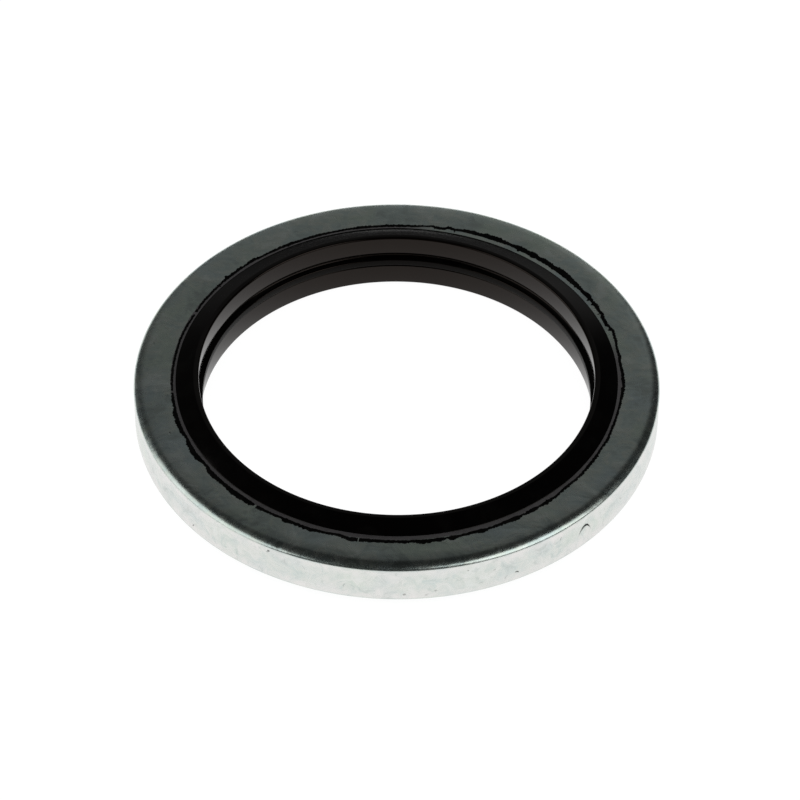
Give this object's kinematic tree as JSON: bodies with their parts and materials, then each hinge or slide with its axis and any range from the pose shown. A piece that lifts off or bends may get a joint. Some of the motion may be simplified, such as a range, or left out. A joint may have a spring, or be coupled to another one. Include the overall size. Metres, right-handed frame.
{
  "type": "bonded sealing washer",
  "caption": "Flat zinc-plated steel ring with a black nitrile rubber seal bonded in its bore: a low lip stands proud of each face, and a blunt rib runs round the bore at mid height between two narrow grooves.",
  "frame": {"origin": "on the bore axis, at the crest of the lower sealing lip, which the washer rests on", "axes": "+Z along the bore axis, up through the washer; it is the same both ways up"},
  "size_m": [0.0286, 0.0286, 0.0034],
  "materials": {
    "zinc_plated_steel": "zinc plated, satin, slightly mottled",
    "nitrile_rubber": "smooth moulded nitrile rubber, semi-gloss"
  },
  "bodies": {
    "root": {"metal_ring": "zinc_plated_steel", "rubber_seal": "nitrile_rubber"}
  },
  "joints": []
}
